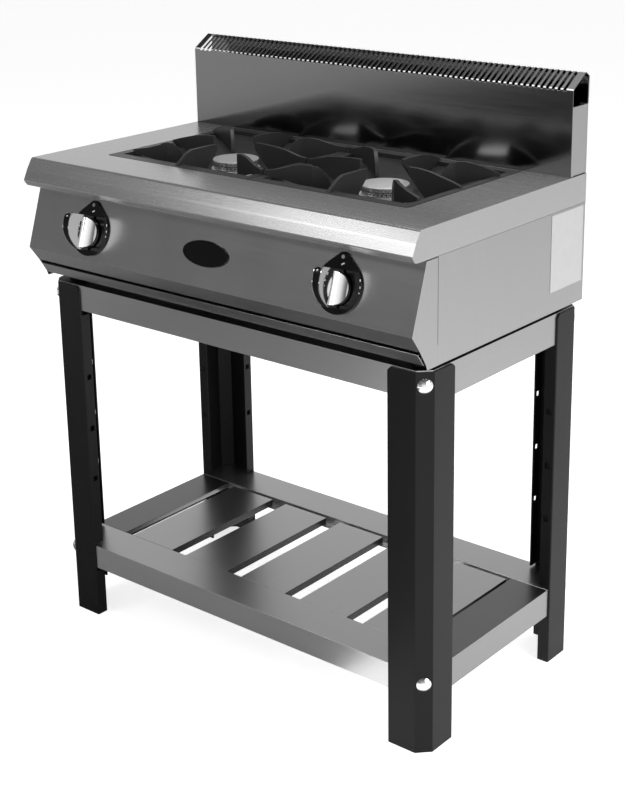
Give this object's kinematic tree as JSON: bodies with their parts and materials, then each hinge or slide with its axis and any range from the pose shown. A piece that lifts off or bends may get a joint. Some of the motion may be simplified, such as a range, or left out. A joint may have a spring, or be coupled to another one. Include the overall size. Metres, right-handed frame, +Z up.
{
  "type": "stock pot range",
  "caption": "Low gas boiling range with two open burners under rising pan supports, knobs, drip tray, vented splashback and an open stand with a slatted shelf.",
  "frame": {"origin": "bottom centre of the whole, on the floor", "axes": "+X to the right seen from the front, +Y to the back, +Z up"},
  "size_m": [0.82, 0.5108, 1.0129],
  "materials": {
    "leg_paint": "near-black fine powder coat",
    "stand_steel": "satin stainless steel",
    "fastener_chrome": "polished chrome",
    "inner_steel": "plain zinc-plated sheet",
    "spacer_rubber": "black rubber",
    "case_steel": "satin brushed stainless steel",
    "splash_steel": "polished satin stainless steel",
    "badge_black": "glossy black dome",
    "plate_grey": "plain satin plate",
    "enamel_black": "semi-gloss black vitreous enamel",
    "burner_iron": "pale cast burner body",
    "burner_alloy": "satin machined alloy",
    "pipe_steel": "grey painted steel pipe",
    "tap_brass": "plain brass",
    "bezel_black": "glossy black",
    "knob_chrome": "mirror chrome",
    "insert_black": "black grip strip"
  },
  "bodies": {
    "range": {"leg_front_left": "leg_paint", "leg_front_right": "leg_paint", "leg_rear_left": "leg_paint", "leg_rear_right": "leg_paint", "apron_front": "stand_steel", "apron_rear": "stand_steel", "apron_left": "stand_steel", "apron_right": "stand_steel", "shelf_rail_front": "stand_steel", "shelf_rail_rear": "stand_steel", "shelf_rail_left": "stand_steel", "shelf_rail_right": "stand_steel", "shelf_slat_1": "stand_steel", "shelf_slat_2": "stand_steel", "shelf_slat_3": "stand_steel", "shelf_slat_4": "stand_steel", "shelf_slat_5": "stand_steel", "stand_bolts": "fastener_chrome", "stand_nuts": "fastener_chrome", "base_pan": "inner_steel", "tray_runners": "inner_steel", "back_panel": "inner_steel", "burner_cross_rail": "inner_steel", "body_bolts": "inner_steel", "casing_screws": "inner_steel", "body_spacers": "spacer_rubber", "side_panel_left": "case_steel", "side_panel_right": "case_steel", "control_panel": "case_steel", "worktop": "case_steel", "splashback_hood": "splash_steel", "flue_back": "splash_steel", "end_cap_left": "splash_steel", "end_cap_right": "splash_steel", "badge_blank": "badge_black", "data_plate_blank": "plate_grey", "hob_dish": "enamel_black", "burner_base_left": "burner_iron", "burner_base_right": "burner_iron", "burner_ring_left": "burner_alloy", "burner_ring_right": "burner_alloy", "gas_manifold": "pipe_steel", "tap_body_left": "tap_brass", "tap_body_right": "tap_brass", "gas_feeds": "tap_brass", "bezel_left": "bezel_black", "bezel_right": "bezel_black"},
    "stem_left": {"tap_stem_left": "tap_brass"},
    "stem_right": {"tap_stem_right": "tap_brass"},
    "knob_left": {"knob_left": "knob_chrome", "knob_insert_left": "insert_black"},
    "knob_right": {"knob_right": "knob_chrome", "knob_insert_right": "insert_black"},
    "tray": {"drip_tray": "case_steel", "drip_tray_front": "case_steel"},
    "support_left": {"pan_support_left": "enamel_black"},
    "support_right": {"pan_support_right": "enamel_black"},
    "cap_left": {"burner_cap_left": "burner_alloy"},
    "cap_right": {"burner_cap_right": "burner_alloy"}
  },
  "joints": [
    {"name": "tap_left_turn", "type": "hinge", "parent": "range", "child": "stem_left", "pos_m": [-0.266, -0.20066, 0.74022], "axis": [0, -0.9497, 0.3132], "range_deg": [0, 180]},
    {"name": "knob_left_press", "type": "slide", "parent": "stem_left", "child": "knob_left", "axis": [0, 0.9497, -0.3132], "range_m": [0, 0.003], "stiffness_N_per_m": 600, "springref_m": -0.004},
    {"name": "tap_right_turn", "type": "hinge", "parent": "range", "child": "stem_right", "pos_m": [0.266, -0.20066, 0.74022], "axis": [0, -0.9497, 0.3132], "range_deg": [0, 180]},
    {"name": "knob_right_press", "type": "slide", "parent": "stem_right", "child": "knob_right", "axis": [0, 0.9497, -0.3132], "range_m": [0, 0.003], "stiffness_N_per_m": 600, "springref_m": -0.004},
    {"name": "tray_slide", "type": "slide", "parent": "range", "child": "tray", "axis": [0, -1, 0], "range_m": [0, 0.35]},
    {"name": "support_left_lift", "type": "slide", "parent": "range", "child": "support_left", "axis": [0, 0, 1], "range_m": [0, 0.1]},
    {"name": "cap_left_lift", "type": "slide", "parent": "range", "child": "cap_left", "axis": [0, 0, 1], "range_m": [0, 0.06]},
    {"name": "support_right_lift", "type": "slide", "parent": "range", "child": "support_right", "axis": [0, 0, 1], "range_m": [0, 0.1]},
    {"name": "cap_right_lift", "type": "slide", "parent": "range", "child": "cap_right", "axis": [0, 0, 1], "range_m": [0, 0.06]}
  ]
}
